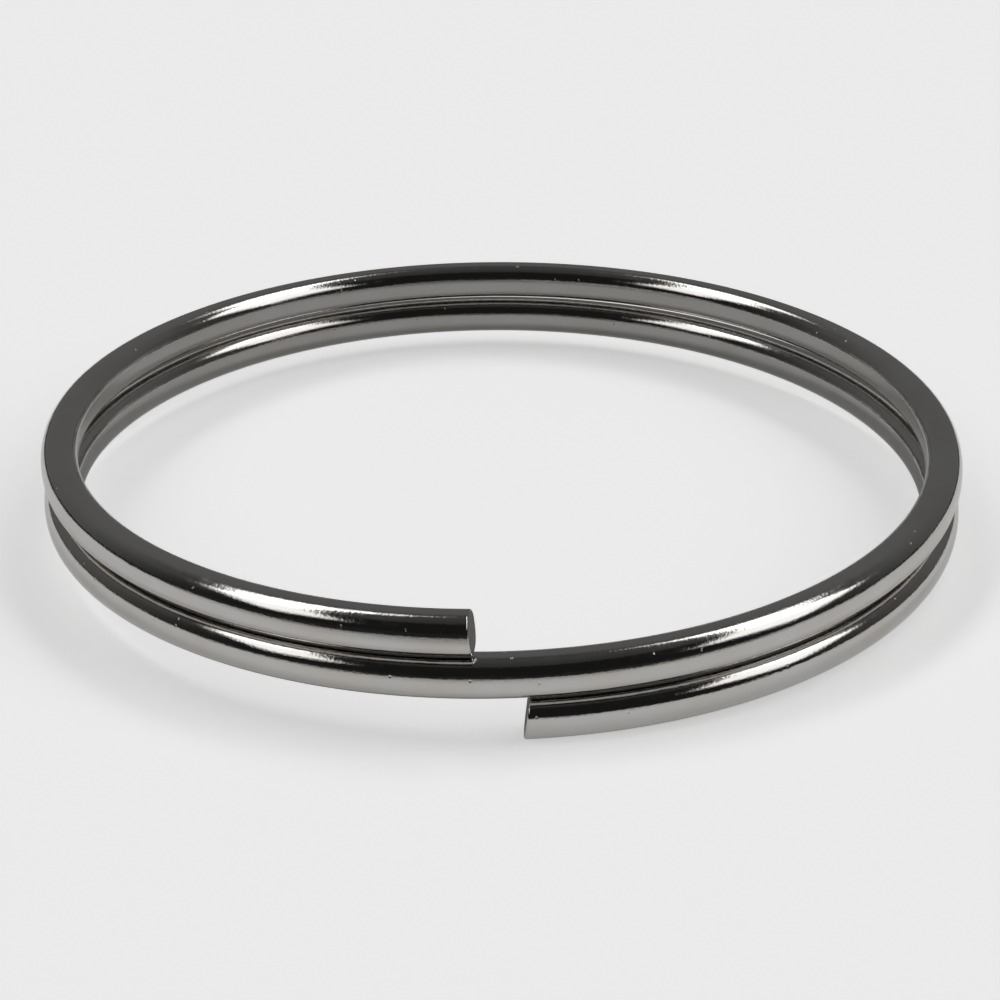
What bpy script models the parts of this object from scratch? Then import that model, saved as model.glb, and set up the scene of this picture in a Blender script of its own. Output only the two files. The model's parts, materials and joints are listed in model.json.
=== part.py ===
"""Split key ring: one spring wire wound about twice round, shown as stretches that flex at their cuts.

Frame: +Z along the coil's axis. The origin is below the coil's centre, on the surface that the ring
lies on. -Y is the front, where the wire crosses over and its two ends face each other.
Lengths are metres.

A place on the wire is its winding angle in radians: 0 at the middle of the crossover, positive along
the upper turn (front, right, back, left) and negative along the lower turn (front, left, back, right).
"""

import math

import bmesh
import bpy
from mathutils import Matrix, Vector

# The coil
OUTER_RADIUS = 0.0160
WIRE_WIDTH = 0.00126
WIRE_HEIGHT = 0.00135
SECTION_EXPONENT = 2.5
END_ANGLE = math.radians(357.0)
CLIMB_ANGLE = math.radians(160.0)

# How far one turn stands off the other, at four places round the coil
GAP_AT_ENDS = 0.00010
GAP_AT_RIGHT = 0.00030
GAP_AT_BACK = 0.00016
GAP_AT_LEFT = 0.00022

# The two sheared ends: how far the cut leans along the wire over its width and its height
SHEAR_ACROSS = 0.00008
SHEAR_UP = 0.00013
END_CHAMFER = 0.00008

# The stretches that the wire flexes between
STRETCHES_PER_TURN = 10
CUT_GAP = 0.00005

# Facets
SECTION_SIDES = 16
STEPS_PER_STRETCH = 8
SHARP_EDGE = math.radians(40.0)

MEAN_RADIUS = OUTER_RADIUS - WIRE_WIDTH / 2
FULL_TURN = 2 * math.pi
FRONT = -math.pi / 2
STRETCH_COUNT = 2 * STRETCHES_PER_TURN + 1
STRETCH_ANGLE = 2 * END_ANGLE / STRETCH_COUNT


def turn_gap(winding):
    """Clear height between the two turns at a winding angle of either, running smoothly round the coil."""
    ends_and_back = (GAP_AT_ENDS + GAP_AT_BACK) / 2
    sides = (GAP_AT_RIGHT + GAP_AT_LEFT) / 2
    once_round = (GAP_AT_ENDS - GAP_AT_BACK) / 2 * math.cos(winding)
    once_across = (GAP_AT_RIGHT - GAP_AT_LEFT) / 2 * math.sin(winding)
    twice_round = (ends_and_back - sides) / 2 * math.cos(2 * winding)
    return (ends_and_back + sides) / 2 + once_round + once_across + twice_round


def climb_left(angle):
    """Share of a half pitch that the wire still has to climb at this angle past the crossover."""
    return max(0.0, 1 - angle / CLIMB_ANGLE) ** 2


def centre_height(winding):
    """Height of the wire's centre line above the middle of the crossover."""
    angle = abs(winding)
    half_pitch = (WIRE_HEIGHT + turn_gap(0.0)) / 2
    height = (WIRE_HEIGHT + turn_gap(winding)) / 2
    height -= half_pitch * climb_left(angle)
    height += half_pitch * climb_left(FULL_TURN - angle)
    return math.copysign(height, winding) if winding else 0.0


def wire_point(winding, outward=0.0, upward=0.0):
    """A point of the wire, given by how far it is from the centre line."""
    radius = MEAN_RADIUS + outward
    angle = FRONT + winding
    return Vector((radius * math.cos(angle), radius * math.sin(angle), centre_height(winding) + upward))


def superellipse(half_size, share):
    """One coordinate of the section's outline, from the cosine or sine of its angle."""
    return math.copysign(half_size * abs(share) ** (2 / SECTION_EXPONENT), share)


def section_outline():
    """The section's corners as (outward, upward), with flat sides facing up, down, in and out."""
    step = FULL_TURN / SECTION_SIDES
    widest = math.cos(step / 2) ** (2 / SECTION_EXPONENT)
    outline = []
    for side in range(SECTION_SIDES):
        angle = (side + 0.5) * step
        outward = superellipse(WIRE_WIDTH / 2, math.cos(angle)) / widest
        upward = superellipse(WIRE_HEIGHT / 2, math.sin(angle)) / widest
        outline.append((outward, upward))
    return outline


def cut_loop(winding):
    """A plain loop of the wire's outline at a winding angle."""
    return [wire_point(winding, outward, upward) for outward, upward in section_outline()]


def end_loop(side, setback, inset):
    """A sheared loop near the lower (side -1) or upper (side +1) end of the wire."""
    loop = []
    for outward, upward in section_outline():
        lean = SHEAR_ACROSS * outward / WIRE_WIDTH + side * SHEAR_UP * upward / WIRE_HEIGHT
        winding = side * (END_ANGLE - setback / MEAN_RADIUS) - lean / MEAN_RADIUS
        loop.append(wire_point(winding, outward * (1 - 2 * inset / WIRE_WIDTH),
                               upward * (1 - 2 * inset / WIRE_HEIGHT)))
    return loop


def stretch_loops(index):
    """Every loop of one stretch, from its lower end to its upper end."""
    start = -END_ANGLE + index * STRETCH_ANGLE
    half_cut = CUT_GAP / 2 / MEAN_RADIUS
    first = start + half_cut
    last = start + STRETCH_ANGLE - half_cut
    step = (last - first) / STEPS_PER_STRETCH
    loops = [cut_loop(first + number * step) for number in range(STEPS_PER_STRETCH + 1)]
    if index == 0:
        loops[:1] = [end_loop(-1, 0.0, END_CHAMFER), end_loop(-1, END_CHAMFER, 0.0)]
    if index == STRETCH_COUNT - 1:
        loops[-1:] = [end_loop(1, END_CHAMFER, 0.0), end_loop(1, 0.0, END_CHAMFER)]
    return loops


def hinge_matrix(index):
    """Where a stretch flexes on the one before it: the cut's centre, with X along the flexing axis.

    The axis is level and square to the line from the cut to the end of that turn, so the flexing
    lifts the turn straight up there. The first stretch has no cut before it and keeps the ring's axes.
    """
    if index == 0:
        return Matrix.Translation(wire_point(-END_ANGLE))
    winding = -END_ANGLE + index * STRETCH_ANGLE
    cut = wire_point(winding)
    reach = wire_point(math.copysign(END_ANGLE, winding)) - cut
    turn = math.atan2(reach.y, reach.x) - math.pi / 2
    return Matrix.Translation(cut) @ Matrix.Rotation(turn, 4, "Z")


def stretch_name(index):
    """Names along the wire, from the lower end to the upper one."""
    from_crossover = index - STRETCHES_PER_TURN
    if index == 0:
        return "lower_end"
    if index == STRETCH_COUNT - 1:
        return "upper_end"
    if from_crossover == 0:
        return "crossover"
    turn = "upper" if from_crossover > 0 else "lower"
    number = from_crossover if from_crossover > 0 else index
    return f"{turn}_turn_{number}"


def nickel_plate(name):
    """Bright nickel on spring steel."""
    material = bpy.data.materials.new(name)
    material.use_nodes = True
    shader = material.node_tree.nodes["Principled BSDF"]
    shader.inputs["Base Color"].default_value = (0.66, 0.65, 0.62, 1.0)
    shader.inputs["Metallic"].default_value = 1.0
    shader.inputs["Roughness"].default_value = 0.14
    return material


def stretch_mesh(name, loops, to_local):
    """A closed solid through the loops, in the stretch's own axes."""
    shape = bmesh.new()
    rings = [[shape.verts.new(to_local @ point) for point in loop] for loop in loops]
    for ring, following in zip(rings, rings[1:]):
        for side in range(SECTION_SIDES):
            after = (side + 1) % SECTION_SIDES
            shape.faces.new((ring[side], ring[after], following[after], following[side]))
    shape.faces.new(reversed(rings[0]))
    shape.faces.new(rings[-1])
    bmesh.ops.recalc_face_normals(shape, faces=shape.faces)
    mesh = bpy.data.meshes.new(name)
    shape.to_mesh(mesh)
    shape.free()
    mesh.shade_smooth()
    mesh.set_sharp_from_angle(angle=SHARP_EDGE)
    return mesh


def make_ring():
    """Every stretch, each one parented to the stretch that it flexes on."""
    all_loops = [stretch_loops(index) for index in range(STRETCH_COUNT)]
    lift = Matrix.Translation((0, 0, -min(point.z for loop in all_loops[0] for point in loop)))
    previous, previous_place = None, None
    for index, loops in enumerate(all_loops):
        name = stretch_name(index)
        place = lift @ hinge_matrix(index)
        mesh = stretch_mesh(name, loops, place.inverted() @ lift)
        mesh.materials.append(nickel_plate(name))
        stretch = bpy.data.objects.new(name, mesh)
        stretch.matrix_basis = place
        if previous:
            stretch.parent = previous
            stretch.matrix_parent_inverse = previous_place.inverted()
        bpy.context.scene.collection.objects.link(stretch)
        previous, previous_place = stretch, place


for leftover in list(bpy.data.objects):
    bpy.data.objects.remove(leftover)
make_ring()
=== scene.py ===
"""Looks of the split key ring: a finely modelled, bright-plated wire over the CAD's stretches.

Each visible piece runs from the middle of one stretch to the middle of the next, across the cut between
them.

A place on the wire is its winding angle in radians: 0 at the middle of the crossover, positive along
the upper turn and negative along the lower turn. Lengths are metres unless a comment says otherwise.
"""

import json
import math

import bpy
import numpy as np
from mathutils import Euler, Matrix, Vector

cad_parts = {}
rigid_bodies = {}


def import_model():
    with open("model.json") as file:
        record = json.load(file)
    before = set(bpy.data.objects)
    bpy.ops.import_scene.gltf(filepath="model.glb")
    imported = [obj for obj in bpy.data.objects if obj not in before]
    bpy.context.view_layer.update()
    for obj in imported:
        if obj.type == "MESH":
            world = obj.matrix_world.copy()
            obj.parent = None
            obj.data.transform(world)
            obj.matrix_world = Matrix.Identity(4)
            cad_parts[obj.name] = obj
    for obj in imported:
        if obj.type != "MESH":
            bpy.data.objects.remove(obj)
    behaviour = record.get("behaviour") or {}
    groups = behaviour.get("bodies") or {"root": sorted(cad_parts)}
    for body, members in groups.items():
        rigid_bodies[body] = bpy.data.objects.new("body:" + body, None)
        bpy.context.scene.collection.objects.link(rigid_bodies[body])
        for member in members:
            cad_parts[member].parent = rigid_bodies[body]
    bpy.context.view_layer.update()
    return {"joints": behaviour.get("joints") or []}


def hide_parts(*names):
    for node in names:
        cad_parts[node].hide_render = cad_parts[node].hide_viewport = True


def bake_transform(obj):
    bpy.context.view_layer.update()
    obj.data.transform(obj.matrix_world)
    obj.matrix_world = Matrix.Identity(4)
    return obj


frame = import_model()

# The wire and its coil, as the CAD has them
OUTER_RADIUS = 0.0160
WIRE_WIDTH = 0.00126
WIRE_HEIGHT = 0.00135
SECTION_EXPONENT = 2.5
END_ANGLE = math.radians(357.0)
CLIMB_ANGLE = math.radians(160.0)
GAP_AT_ENDS = 0.00010
GAP_AT_RIGHT = 0.00030
GAP_AT_BACK = 0.00016
GAP_AT_LEFT = 0.00022
SHEAR_ACROSS = 0.00008
SHEAR_UP = 0.00013
END_ROUND = 0.00008

FULL_TURN = 2 * math.pi
FRONT = -math.pi / 2
MEAN_RADIUS = OUTER_RADIUS - WIRE_WIDTH / 2

# How fine the visible wire is
SIDES = 64
STEPS_PER_STRETCH = 36
ROUND_STEPS = 5
FACE_RINGS = 4

# Angles round the wire's section, and each side of it with the next one
AROUND = (np.arange(SIDES) + 0.5) * FULL_TURN / SIDES
NEIGHBOURS = [(side, (side + 1) % SIDES) for side in range(SIDES)]

# How far before an end of the wire its plain skin stops and its rounded edge begins
END_LENGTH = 2.5 * END_ROUND

# The small angle that the skin's slope is measured over, in radians
SLOPE_STEP = 1e-4

# Textures on the wire are laid out in millimetres
PER_MM = 1000

# The plating's tone and roughness, each in patches: cells per millimetre, limits of the noise, values
CLEAN_NICKEL = (0.62, 0.61, 0.595, 1.0)
HANDLED_NICKEL = (0.60, 0.575, 0.54, 1.0)
TONE_CELLS = 0.5
TONE_LIMITS = (0.3, 0.7)
ROUGH_CELLS = 3.0
ROUGH_LIMITS = (0.35, 0.75)
PLATE_ROUGHNESS = (0.07, 0.13)

# Relief of the plating: cells per millimetre, how far they are drawn out along the wire, and depth
RIPPLES = (0.45, 2.0, 1.2e-5)
DRAW_MARKS = (14.0, 40.0, 2e-6)
FINE_GRAIN = (13.0, 1.3, 3.2e-6)

# Pits in the plating: cells per millimetre, radius in millimetres, share of it that is flat, and depth
PIT_CELLS = 1.7
PIT_RADIUS = 0.05
PIT_FLOOR = 0.4
PIT_DEPTH = 8e-6

# The sheared faces, with scores that run from top to bottom: cells per metre along x, y and z
SHEARED_STEEL = (0.56, 0.55, 0.53, 1.0)
SCORE_CELLS = (12000.0, 12000.0, 900.0)
SCORE_LIMITS = (0.3, 0.7)
SCORE_ROUGHNESS = (0.22, 0.42)
SCORE_DEPTH = 1.2e-5

# The floor as the camera sees it
FLOOR_HALF_SIZE = 2.0
FLOOR_SHADE = 0.85
FLOOR_GLOW = 0.44

# The floor as the plating mirrors it: a painted pool of light and a painted glow round the ring, and
# painted shade that darkens it inside the ring at the front
PAINTED_LIGHT_MIDDLE = (0.0, 0.018, 0.0)
PAINTED_LIGHT_EDGE = (0.037, 0.047)
UNLIT_SHARE = 0.03
INSIDE_EDGE = (OUTER_RADIUS - 0.0015, OUTER_RADIUS)
INSIDE_FRONT_TO_BACK = (-0.008, 0.009)
INSIDE_SHADES = (0.30, 0.75)
OUTSIDE_SHADE = 0.85
OUTSIDE_GLOW = 0.22

# The walls and the roof: brightness, and the limits of a direction's y or z part that each change runs over
BACKDROP = 0.80
WALL_IN_FRONT = 0.012
WALL_BEHIND = 0.115
FRONT_TO_BEHIND = (-0.5, 0.9)
WALL_TOP = (0.6, 0.9)
WALL_TOP_SHARE = 0.3
ROOF = 0.03
ROOF_EDGE = (0.8, 0.92)

# The strip lights: azimuth and elevation of each one's nearest place, and how far it hangs, in degrees
STRIPS = ((125, 59.5, 23.0), (-120, 60.5, 14.0))
STRIP_HALF_WIDTH = 6.0
STRIP_EDGE = 2.0
STRIP_REAR = (-26, -14)
STRIP_WIDENS = (4, 26)
STRIP_DIMS = (6, 34)
STRIP_FRONT = (50, 68)
STRIP_BRIGHTNESS = (3.0, 1.5)

# The camera, which stands in front of the crossover and above it, and is aimed a little below it
VIEW_ELEVATION = math.radians(25.11)
VIEW_TURN = math.radians(0.22)
VIEW_DISTANCE = 0.08627
LENS = 87.8
SENSOR = 36.0
AIM_DOWN = math.radians(1.05)
AIM_RIGHT = math.radians(-0.05)
ROLL = math.radians(0.156)
NEAREST_SEEN = 0.005

# Results of a smooth range, a colour and two directions
RISING = (0.0, 1.0)
FALLING = (1.0, 0.0)
WHITE = (1.0, 1.0, 1.0, 1.0)
BACKWARD = (0.0, 1.0, 0.0)
UPWARD = (0.0, 0.0, 1.0)


def turn_gap(winding):
    """Clear height between the two turns at a winding angle of either, running smoothly round the coil."""
    ends_and_back = (GAP_AT_ENDS + GAP_AT_BACK) / 2
    sides = (GAP_AT_RIGHT + GAP_AT_LEFT) / 2
    once_round = (GAP_AT_ENDS - GAP_AT_BACK) / 2 * np.cos(winding)
    once_across = (GAP_AT_RIGHT - GAP_AT_LEFT) / 2 * np.sin(winding)
    twice_round = (ends_and_back - sides) / 2 * np.cos(2 * winding)
    return (ends_and_back + sides) / 2 + once_round + once_across + twice_round


def climb_left(angle):
    """Share of a half pitch that the wire still has to climb at this angle past the crossover."""
    return np.clip(1 - angle / CLIMB_ANGLE, 0, None) ** 2


def centre_height(winding):
    """Height of the wire's centre line above the middle of the crossover."""
    angle = np.abs(winding)
    half_pitch = (WIRE_HEIGHT + turn_gap(0.0)) / 2
    height = (WIRE_HEIGHT + turn_gap(winding)) / 2
    height = height - half_pitch * climb_left(angle) + half_pitch * climb_left(FULL_TURN - angle)
    return np.sign(winding) * height


def body_chain():
    """The CAD's bodies in order along the wire, from the lower end, with the joint before each."""
    after = {joint["parent"]: joint for joint in frame["joints"]}
    children = {joint["child"] for joint in frame["joints"]}
    body = (set(after) - children).pop()
    bodies, joints = [body], []
    while body in after:
        joints.append(after[body])
        body = after[body]["child"]
        bodies.append(body)
    return bodies, joints


BODIES, JOINTS = body_chain()
STRETCH_ANGLE = 2 * END_ANGLE / len(BODIES)
CROSSOVER_HEIGHT = JOINTS[0]["pos_m"][2] - float(centre_height(-END_ANGLE + STRETCH_ANGLE))


def wire_points(winding, outward, upward):
    """Points of the wire, given by how far they are from the centre line, as rows of x, y, z."""
    radius = MEAN_RADIUS + outward
    angle = FRONT + winding
    height = CROSSOVER_HEIGHT + centre_height(winding) + upward
    return np.stack([radius * np.cos(angle), radius * np.sin(angle), height], axis=-1)


def superellipse(around):
    """The section's outline at an angle around the wire, as (outward, upward)."""
    power = 2 / SECTION_EXPONENT
    cosine, sine = np.cos(around), np.sin(around)
    outward = WIRE_WIDTH / 2 * np.sign(cosine) * np.abs(cosine) ** power
    upward = WIRE_HEIGHT / 2 * np.sign(sine) * np.abs(sine) ** power
    return outward, upward


def skin_loop(winding, around=AROUND, inset=0.0):
    """A loop of the wire's skin at one winding angle, or at one for each angle around the wire."""
    outward, upward = superellipse(around)
    outward = outward * (1 - 2 * inset / WIRE_WIDTH)
    upward = upward * (1 - 2 * inset / WIRE_HEIGHT)
    return wire_points(np.broadcast_to(winding, around.shape), outward, upward)


def skin_normals(winding):
    """Outward normals of a loop of the skin, from its slope along the wire and around it."""
    along = skin_loop(winding + SLOPE_STEP) - skin_loop(winding - SLOPE_STEP)
    across = skin_loop(winding, AROUND + SLOPE_STEP) - skin_loop(winding, AROUND - SLOPE_STEP)
    normals = np.cross(along, across)
    return normals / np.linalg.norm(normals, axis=-1, keepdims=True)


def end_loop(side, setback, inset):
    """A loop of the sheared lower (side -1) or upper (side +1) end of the wire."""
    outward, upward = superellipse(AROUND)
    lean = SHEAR_ACROSS * outward / WIRE_WIDTH + side * SHEAR_UP * upward / WIRE_HEIGHT
    winding = side * (END_ANGLE - setback / MEAN_RADIUS) - lean / MEAN_RADIUS
    return skin_loop(winding, inset=inset)


def end_loops(side):
    """The rounded edge and the flat face of one end, from the wire's side to the face's middle."""
    loops = []
    for number in range(ROUND_STEPS + 1):
        turn = math.pi / 2 * number / ROUND_STEPS
        setback, inset = END_ROUND * (1 - math.sin(turn)), END_ROUND * (1 - math.cos(turn))
        loops.append(end_loop(side, setback, inset))
    middle = loops[-1].mean(axis=0)
    for number in range(1, FACE_RINGS):
        loops.append(loops[-1] + (middle - loops[-1]) / (FACE_RINGS - number + 1))
    return loops, middle


def wire_faces(rows, has_start, has_finish):
    """Faces over so many loops and over both ends of them, the skin's faces first.

    An end of the wire is a fan round the middle point, which comes last. An end at a seam is one flat cap.
    """
    faces = []
    for near in range(0, (rows - 1) * SIDES, SIDES):
        far = near + SIDES
        faces += [(far + side, far + after, near + after, near + side) for side, after in NEIGHBOURS]
    final, middle = (rows - 1) * SIDES, rows * SIDES
    if has_start:
        faces += [(side, after, middle) for side, after in NEIGHBOURS]
    else:
        faces.append(tuple(range(SIDES)))
    if has_finish:
        faces += [(final + after, final + side, middle) for side, after in NEIGHBOURS]
    else:
        faces.append(tuple(reversed(range(final, middle))))
    return faces


def wire_piece(name, first, last, materials):
    """A closed length of wire between two winding angles, with the wire's own end where it has one."""
    has_start = first <= -END_ANGLE
    has_finish = last >= END_ANGLE
    low = first + END_LENGTH / MEAN_RADIUS if has_start else first
    high = last - END_LENGTH / MEAN_RADIUS if has_finish else last
    steps = round((last - first) / STRETCH_ANGLE * STEPS_PER_STRETCH)
    windings = np.linspace(low, high, steps + 1)
    loops = [skin_loop(winding) for winding in windings]
    normals = [skin_normals(winding) for winding in windings]
    lengths = [winding * MEAN_RADIUS for winding in windings]
    middles = []
    if has_start:
        added, middle = end_loops(-1)
        loops = added[::-1] + loops
        normals = [np.zeros((SIDES, 3))] * len(added) + normals
        lengths = lengths[:1] * len(added) + lengths
        middles.append(middle)
    if has_finish:
        added, middle = end_loops(1)
        loops = loops + added
        normals = normals + [np.zeros((SIDES, 3))] * len(added)
        lengths = lengths + lengths[-1:] * len(added)
        middles.append(middle)
    points = [point for loop in loops for point in loop] + middles
    mesh = bpy.data.meshes.new(name)
    mesh.from_pydata([tuple(point) for point in points], [], wire_faces(len(loops), has_start, has_finish))
    mesh.shade_smooth()
    skin_count = (len(loops) - 1) * SIDES
    sharpen_seams(mesh, skin_count)
    corner_normals(mesh, normals, skin_count)
    wire_coordinates(mesh, lengths, skin_count)
    mesh.materials.append(materials[0])
    if has_start or has_finish:
        mesh.materials.append(materials[1])
        first_row = 0 if has_start else len(loops) - FACE_RINGS
        mark_sheared_face(mesh, first_row * SIDES, len(points) - 1)
    piece = bpy.data.objects.new(name, mesh)
    bpy.context.scene.collection.objects.link(piece)
    return piece


def sharpen_seams(mesh, skin_count):
    """Marks the edges of the flat caps at a seam, so that the skin's shading runs on across it."""
    caps = [face for face in mesh.polygons if face.index >= skin_count and len(face.vertices) > 4]
    seam_keys = {key for face in caps for key in face.edge_keys}
    sharp = [edge.key in seam_keys for edge in mesh.edges]
    attribute = mesh.attributes.new("sharp_edge", "BOOLEAN", "EDGE")
    attribute.data.foreach_set("value", sharp)


def corner_normals(mesh, normals, skin_count):
    """Gives the skin its exact normals, so that neighbouring pieces shade as one wire."""
    table = np.concatenate(normals + [np.zeros((len(mesh.vertices) - SIDES * len(normals), 3))])
    corners = np.zeros((len(mesh.loops), 3))
    for face in mesh.polygons:
        if face.index < skin_count:
            for loop in face.loop_indices:
                corners[loop] = table[mesh.loops[loop].vertex_index]
    mesh.normals_split_custom_set([tuple(corner) for corner in corners])


def wire_coordinates(mesh, lengths, skin_count):
    """A UV map of (millimetres along the wire, share of the way round it)."""
    layer = mesh.uv_layers.new(name="along_wire")
    for face in mesh.polygons:
        closes_loop = face.index < skin_count and face.index % SIDES == SIDES - 1
        for loop in face.loop_indices:
            row, side = divmod(mesh.loops[loop].vertex_index, SIDES)
            share = 1.0 if closes_loop and side == 0 else side / SIDES
            length = lengths[row] if row < len(lengths) else 0.0
            layer.data[loop].uv = (length * PER_MM, share)


def mark_sheared_face(mesh, first_point, middle_point):
    """Gives the second material to the flat face of a wire end: its rings of points and its middle."""
    flat = {middle_point, *range(first_point, first_point + FACE_RINGS * SIDES)}
    for face in mesh.polygons:
        if flat.issuperset(face.vertices):
            face.material_index = 1


def set_inputs(tree, node, inputs):
    """Gives a node's inputs, by name or number, their values or the sockets that drive them."""
    for key, value in inputs.items():
        if isinstance(value, bpy.types.NodeSocket):
            tree.links.new(value, node.inputs[key])
        else:
            node.inputs[key].default_value = value


def add_node(tree, kind, inputs=None, output=0, **settings):
    """Adds a shader node with its settings and inputs. Gives back one of its outputs."""
    node = tree.nodes.new(f"ShaderNode{kind}")
    for name, value in settings.items():
        setattr(node, name, value)
    set_inputs(tree, node, inputs or {})
    return node.outputs[output]


def math_node(tree, operation, first, second=0.0):
    """A sum, a product or a function of numbers or sockets."""
    return add_node(tree, "Math", {0: first, 1: second}, operation=operation)


def vector_node(tree, operation, first, second):
    """The dot product of two vectors or the distance between them."""
    return add_node(tree, "VectorMath", {0: first, 1: second}, "Value", operation=operation)


def smooth_range(tree, value, limits, results=RISING):
    """Runs smoothly from one result to the other as a value goes from one limit to the other."""
    names = ("From Min", "From Max", "To Min", "To Max")
    inputs = {"Value": value, **dict(zip(names, (*limits, *results)))}
    return add_node(tree, "MapRange", inputs, "Result", interpolation_type="SMOOTHSTEP")


def mix_values(tree, share, first, second, kind="FLOAT"):
    """Mixes two values or two colours."""
    return add_node(tree, "Mix", {"Factor": share, "A": first, "B": second}, "Result", data_type=kind)


def new_material(name):
    """A material with its node tree and its shader."""
    material = bpy.data.materials.new(name)
    material.use_nodes = True
    return material, material.node_tree, material.node_tree.nodes["Principled BSDF"]


def wire_place(tree):
    """Texture coordinates in millimetres, unrolled along the wire and closed round its section."""
    unrolled = add_node(tree, "UVMap", output="UV", uv_map="along_wire")
    split = tree.nodes.new("ShaderNodeSeparateXYZ")
    set_inputs(tree, split, {0: unrolled})
    turn = math_node(tree, "MULTIPLY", split.outputs["Y"], FULL_TURN)
    round_wire = [math_node(tree, "MULTIPLY", math_node(tree, operation, turn), WIRE_HEIGHT / 2 * PER_MM)
                  for operation in ("COSINE", "SINE")]
    return add_node(tree, "CombineXYZ", {"X": split.outputs["X"], "Y": round_wire[0], "Z": round_wire[1]})


def noise(tree, place, cells):
    """Noise with so many cells per unit of length along each axis."""
    scaled = add_node(tree, "Mapping", {"Vector": place, "Scale": cells})
    return add_node(tree, "TexNoise", {"Vector": scaled, "Scale": 1.0}, "Fac")


def grain(tree, place, cells, drawn_out=1.0):
    """Noise over the wire, with so many cells per millimetre, drawn out along the wire by a factor."""
    return noise(tree, place, (cells / drawn_out, cells, cells))


def pits(tree, place):
    """1 in small scattered spots and 0 between them."""
    scaled = add_node(tree, "Mapping", {"Vector": place, "Scale": (PIT_CELLS, PIT_CELLS, PIT_CELLS)})
    distance = add_node(tree, "TexVoronoi", {"Vector": scaled, "Scale": 1.0}, "Distance")
    rim = PIT_RADIUS * PIT_CELLS
    return smooth_range(tree, distance, (rim * PIT_FLOOR, rim), FALLING)


def bumped(tree, height, depth, normal=None):
    """A normal roughened by a height, whose full range is so many metres deep."""
    inputs = {"Height": height, "Distance": depth}
    if normal:
        inputs["Normal"] = normal
    return add_node(tree, "Bump", inputs, "Normal")


def plated_steel():
    """Bright nickel plate: mirror-like, with a faint grain, long ripples, draw marks and small pits."""
    material, tree, shader = new_material("nickel_plate")
    place = wire_place(tree)
    handled = smooth_range(tree, grain(tree, place, TONE_CELLS), TONE_LIMITS)
    tone = mix_values(tree, handled, CLEAN_NICKEL, HANDLED_NICKEL, "RGBA")
    rough = smooth_range(tree, grain(tree, place, ROUGH_CELLS), ROUGH_LIMITS, PLATE_ROUGHNESS)
    normal = None
    for cells, drawn_out, depth in (RIPPLES, DRAW_MARKS, FINE_GRAIN):
        normal = bumped(tree, grain(tree, place, cells, drawn_out), depth, normal)
    normal = bumped(tree, math_node(tree, "SUBTRACT", 0.0, pits(tree, place)), PIT_DEPTH, normal)
    set_inputs(tree, shader, {"Base Color": tone, "Metallic": 1.0, "Roughness": rough, "Normal": normal})
    return material


def sheared_steel():
    """The cut faces: duller, scored from top to bottom by the shear."""
    material, tree, shader = new_material("sheared_steel")
    scores = noise(tree, add_node(tree, "TexCoord", output="Object"), SCORE_CELLS)
    rough = smooth_range(tree, scores, SCORE_LIMITS, SCORE_ROUGHNESS)
    set_inputs(tree, shader, {"Base Color": SHEARED_STEEL, "Metallic": 1.0, "Roughness": rough,
                              "Normal": bumped(tree, scores, SCORE_DEPTH)})
    return material


def make_wire():
    """Every piece of the wire, each one running across one cut."""
    materials = (plated_steel(), sheared_steel())
    half = STRETCH_ANGLE / 2
    for index, joint in enumerate(JOINTS):
        cut = -END_ANGLE + (index + 1) * STRETCH_ANGLE
        first = -END_ANGLE if index == 0 else cut - half
        last = END_ANGLE if index == len(JOINTS) - 1 else cut + half
        piece = wire_piece(f"wire_{index + 1:02d}", first, last, materials)
        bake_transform(piece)
        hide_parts(joint["child"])
        if index == 0:
            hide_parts(joint["parent"])


def make_floor():
    """A plain pale floor. What the plating mirrors of it has a painted pool of light and painted glow round
    the ring, and painted shade inside the ring.
    """
    mesh = bpy.data.meshes.new("floor")
    size = FLOOR_HALF_SIZE
    corners = [(-size, -size, 0), (size, -size, 0), (size, size, 0), (-size, size, 0)]
    mesh.from_pydata(corners, [], [(0, 1, 2, 3)])
    floor = bpy.data.objects.new("floor", mesh)
    material, tree, shader = new_material("floor")
    place = add_node(tree, "NewGeometry", output="Position")
    camera_ray = add_node(tree, "LightPath", output="Is Camera Ray")
    # Painted light on the mirrored floor: a painted pool of light round the ring, painted shade inside it
    # and a painted glow outside it; the camera sees the floor evenly pale
    from_light = vector_node(tree, "DISTANCE", place, PAINTED_LIGHT_MIDDLE)
    lit = smooth_range(tree, from_light, PAINTED_LIGHT_EDGE, (1.0, UNLIT_SHARE))
    outside = smooth_range(tree, vector_node(tree, "DISTANCE", place, (0.0, 0.0, 0.0)), INSIDE_EDGE)
    backward = vector_node(tree, "DOT_PRODUCT", place, BACKWARD)
    painted_inside_shade = smooth_range(tree, backward, INSIDE_FRONT_TO_BACK, INSIDE_SHADES)
    shade = math_node(tree, "MULTIPLY", mix_values(tree, outside, painted_inside_shade, OUTSIDE_SHADE), lit)
    painted_glow = math_node(tree, "MULTIPLY", math_node(tree, "MULTIPLY", outside, lit), OUTSIDE_GLOW)
    set_inputs(tree, shader, {
        "Base Color": mix_values(tree, camera_ray, shade, FLOOR_SHADE),
        "Roughness": 1.0,
        "Specular IOR Level": 0.0,
        "Emission Color": WHITE,
        "Emission Strength": mix_values(tree, camera_ray, painted_glow, FLOOR_GLOW),
    })
    mesh.materials.append(material)
    bpy.context.scene.collection.objects.link(floor)


def compass(azimuth, elevation):
    """A direction: so many degrees to the right of the camera's side, and so many above the floor."""
    azimuth, elevation = math.radians(azimuth), math.radians(elevation)
    level = math.cos(elevation)
    return Vector((math.sin(azimuth) * level, -math.cos(azimuth) * level, math.sin(elevation)))


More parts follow.
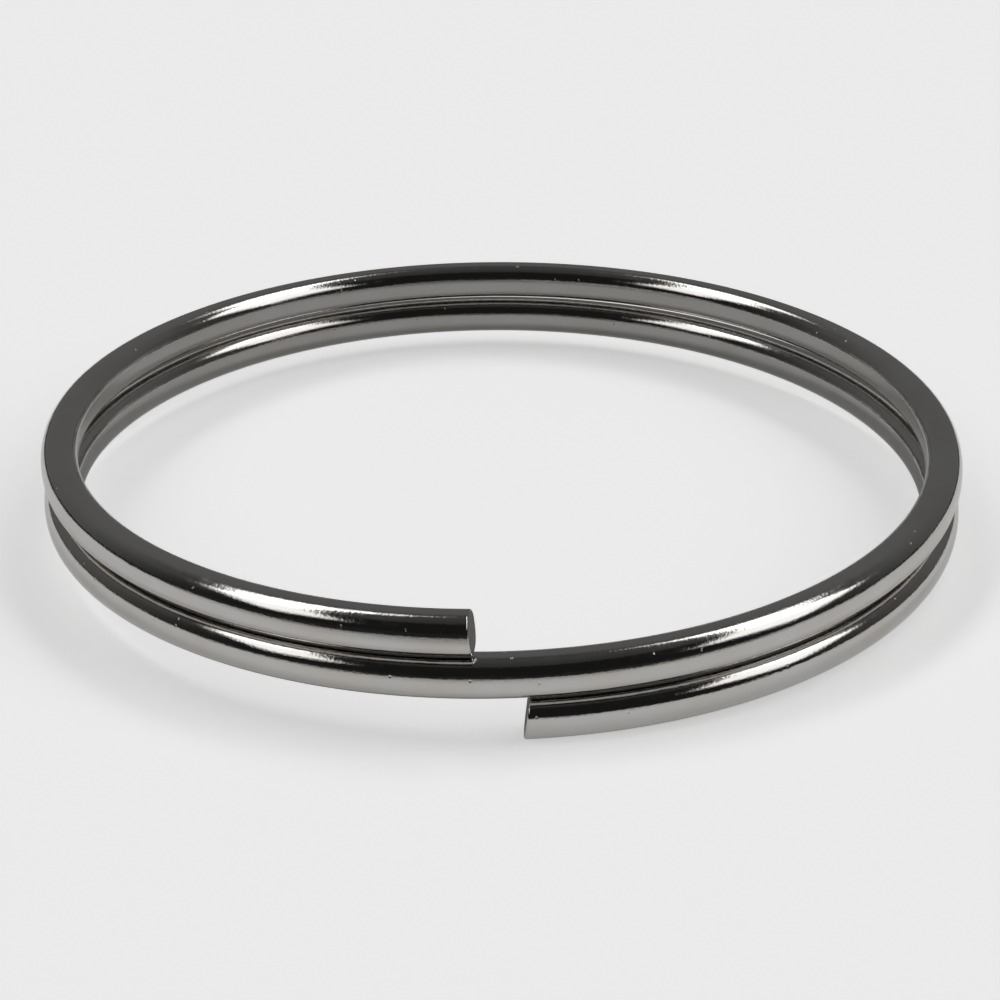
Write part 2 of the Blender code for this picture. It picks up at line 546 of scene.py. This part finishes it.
def strip_light(tree, direction, azimuth, elevation, hang):
    """The brightness of a long soft light that is nearest the ring at an azimuth and elevation.

    It runs along a straight line that comes forward past the ring, where it hangs lower and is dimmer.
    """
    nearest = compass(azimuth, elevation)
    forward = compass(azimuth - math.copysign(90, azimuth), 0)
    over = forward.cross(nearest).normalized()
    over *= math.copysign(1, over.z)
    part_forward, part_near, part_over = [vector_node(tree, "DOT_PRODUCT", direction, axis)
                                          for axis in (forward, nearest, over)]
    length = math_node(tree, "DEGREES", math_node(tree, "ARCTAN2", part_forward, part_near))
    offset = math_node(tree, "DEGREES", math_node(tree, "ARCSINE", part_over))
    drop = smooth_range(tree, length, STRIP_WIDENS, (STRIP_HALF_WIDTH, hang))
    light = smooth_range(tree, length, STRIP_DIMS, STRIP_BRIGHTNESS)
    top_edge = (STRIP_HALF_WIDTH - STRIP_EDGE, STRIP_HALF_WIDTH + STRIP_EDGE)
    for share in (smooth_range(tree, math_node(tree, "ADD", offset, drop), (-STRIP_EDGE, 2 * STRIP_EDGE)),
                  smooth_range(tree, offset, top_edge, FALLING),
                  smooth_range(tree, length, STRIP_REAR),
                  smooth_range(tree, length, STRIP_FRONT, FALLING)):
        light = math_node(tree, "MULTIPLY", light, share)
    return light


def make_world():
    """A dark studio with a long soft light high on each side, paler behind the ring than in front."""
    world = bpy.data.worlds.new("studio")
    bpy.context.scene.world = world
    world.use_nodes = True
    tree = world.node_tree
    direction = add_node(tree, "TexCoord", output="Generated")
    backward = vector_node(tree, "DOT_PRODUCT", direction, BACKWARD)
    height = vector_node(tree, "DOT_PRODUCT", direction, UPWARD)
    wall = math_node(tree, "MULTIPLY", smooth_range(tree, backward, FRONT_TO_BEHIND, (0.0, WALL_BEHIND)),
                     smooth_range(tree, height, WALL_TOP, (1.0, WALL_TOP_SHARE)))
    wall = math_node(tree, "ADD", wall, smooth_range(tree, height, ROOF_EDGE, (0.0, ROOF)))
    light = math_node(tree, "ADD", wall, WALL_IN_FRONT)
    for azimuth, elevation, hang in STRIPS:
        light = math_node(tree, "ADD", light, strip_light(tree, direction, azimuth, elevation, hang))
    camera_ray = add_node(tree, "LightPath", output="Is Camera Ray")
    seen = mix_values(tree, camera_ray, light, BACKDROP)
    set_inputs(tree, tree.nodes["Background"], {"Color": seen, "Strength": 1.0})


def make_camera():
    """The camera, in front of the ring and looking down at it."""
    data = bpy.data.cameras.new("camera")
    data.lens = LENS
    data.sensor_width = SENSOR
    data.clip_start = NEAREST_SEEN
    camera = bpy.data.objects.new("camera", data)
    bpy.context.scene.collection.objects.link(camera)
    turn = Matrix.Rotation(VIEW_TURN, 4, "Z")
    back = turn @ Vector((0, -math.cos(VIEW_ELEVATION), math.sin(VIEW_ELEVATION)))
    tilt = Euler((math.pi / 2 - VIEW_ELEVATION - AIM_DOWN, 0, -AIM_RIGHT)).to_matrix().to_4x4()
    place = Matrix.Translation(Vector((0, 0, CROSSOVER_HEIGHT)) + back * VIEW_DISTANCE)
    camera.matrix_world = place @ turn @ tilt @ Matrix.Rotation(ROLL, 4, "Z")
    bpy.context.scene.camera = camera


bpy.context.scene.view_settings.view_transform = "Standard"
make_wire()
make_floor()
make_world()
make_camera()
